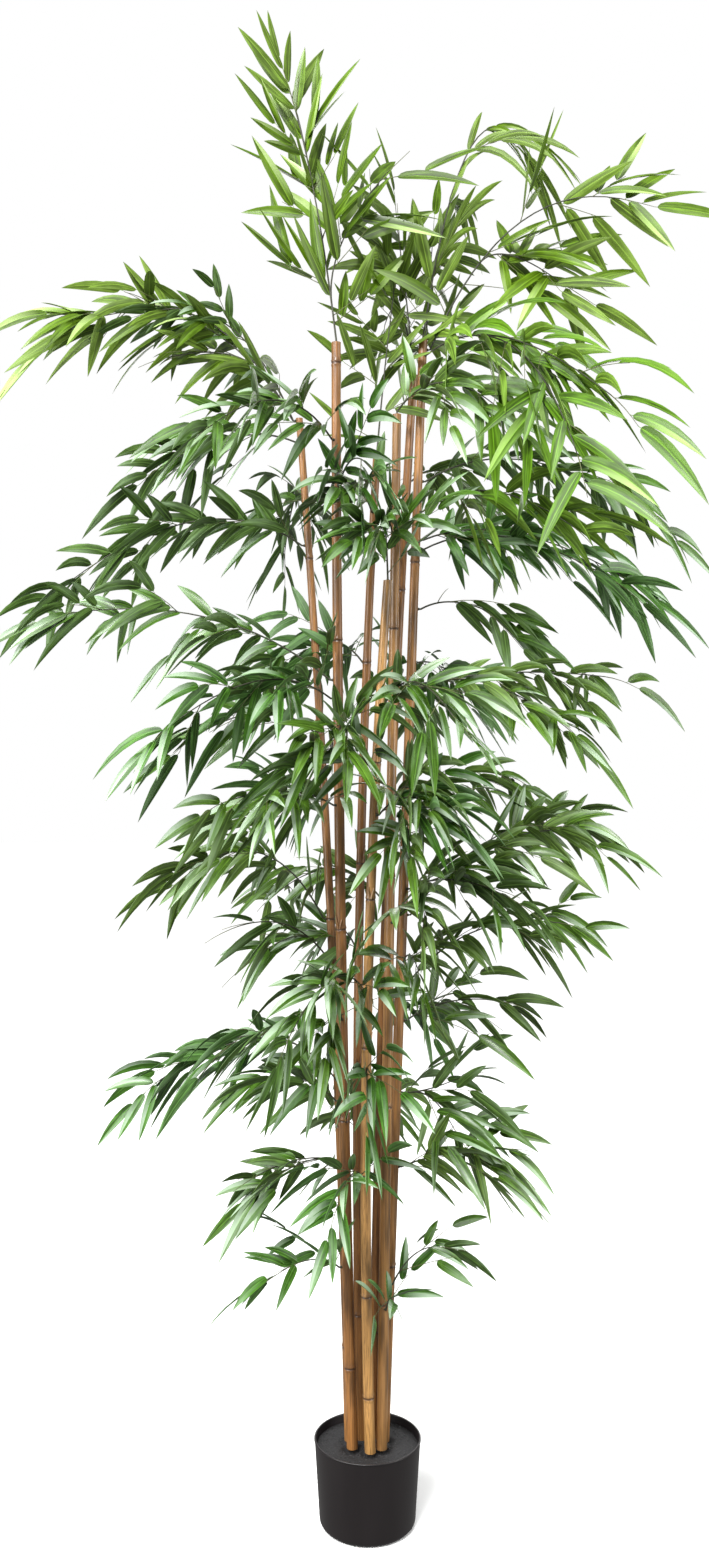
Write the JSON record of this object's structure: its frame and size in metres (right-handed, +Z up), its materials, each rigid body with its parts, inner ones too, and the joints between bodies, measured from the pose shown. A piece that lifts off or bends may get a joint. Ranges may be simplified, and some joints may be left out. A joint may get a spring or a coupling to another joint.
{
  "type": "artificial potted bamboo",
  "caption": "Tall artificial bamboo: slim natural canes standing in a filled round pot, with wire branches that arch out and carry long pointed fabric leaves, as indoor greenery",
  "frame": {"origin": "the centre of the pot's flat underside", "axes": "+Z up along the canes, +X to the right and +Y away from the viewer in the front view"},
  "size_m": [1.2006, 0.9112, 2.379],
  "materials": {
    "pot": "satin charcoal nursery-pot plastic",
    "fill": "rough, nearly black cement filling with a granular top",
    "cane": "lacquered natural cane, tan to orange-brown, with dark rings at its joints",
    "wire": "wire in dark brown wrapping",
    "leaf_light": "satin printed fabric, young yellow-green",
    "leaf_bright": "satin printed fabric, bright mid green",
    "leaf_dark": "satin printed fabric, dark green with a greyish gloss"
  },
  "bodies": {
    "root": {"bough_front_right": "wire", "bough_left_1": "wire", "bough_left_11": "wire", "bough_left_5": "wire", "bough_left_8": "wire", "bough_right_1": "wire", "bough_right_10": "wire", "bough_right_7": "wire", "bough_top_right": "wire", "cane_a": "cane", "cane_b": "cane", "cane_c": "cane", "cane_d": "cane", "cane_e": "cane", "cane_f": "cane", "cane_g": "cane", "fill": "fill", "leaves_back_1": "leaf_dark", "leaves_back_2": "leaf_dark", "leaves_back_3": "leaf_dark", "leaves_back_4": "leaf_dark", "leaves_back_5": "leaf_dark", "leaves_front_1": "leaf_dark", "leaves_front_2": "leaf_dark", "leaves_front_4": "leaf_dark", "leaves_front_5": "leaf_dark", "leaves_front_6": "leaf_dark", "leaves_front_right": "leaf_bright", "leaves_left_1": "leaf_light", "leaves_left_11": "leaf_dark", "leaves_left_12": "leaf_dark", "leaves_left_13": "leaf_dark", "leaves_left_14": "leaf_dark", "leaves_left_3": "leaf_dark", "leaves_left_4": "leaf_dark", "leaves_left_5": "leaf_dark", "leaves_left_6": "leaf_dark", "leaves_left_7": "leaf_dark", "leaves_left_8": "leaf_dark", "leaves_left_9": "leaf_dark", "leaves_right_1": "leaf_dark", "leaves_right_10": "leaf_dark", "leaves_right_11": "leaf_dark", "leaves_right_12": "leaf_dark", "leaves_right_13": "leaf_dark", "leaves_right_15": "leaf_dark", "leaves_right_2": "leaf_dark", "leaves_right_3": "leaf_dark", "leaves_right_4": "leaf_dark", "leaves_right_5": "leaf_dark", "leaves_right_6": "leaf_dark", "leaves_right_7": "leaf_dark", "leaves_right_9": "leaf_dark", "leaves_top_arch": "leaf_light", "leaves_top_back": "leaf_light", "leaves_top_centre": "leaf_light", "leaves_top_left": "leaf_light", "leaves_top_mid": "leaf_light", "leaves_top_right": "leaf_light", "pot": "pot"}
  },
  "joints": []
}
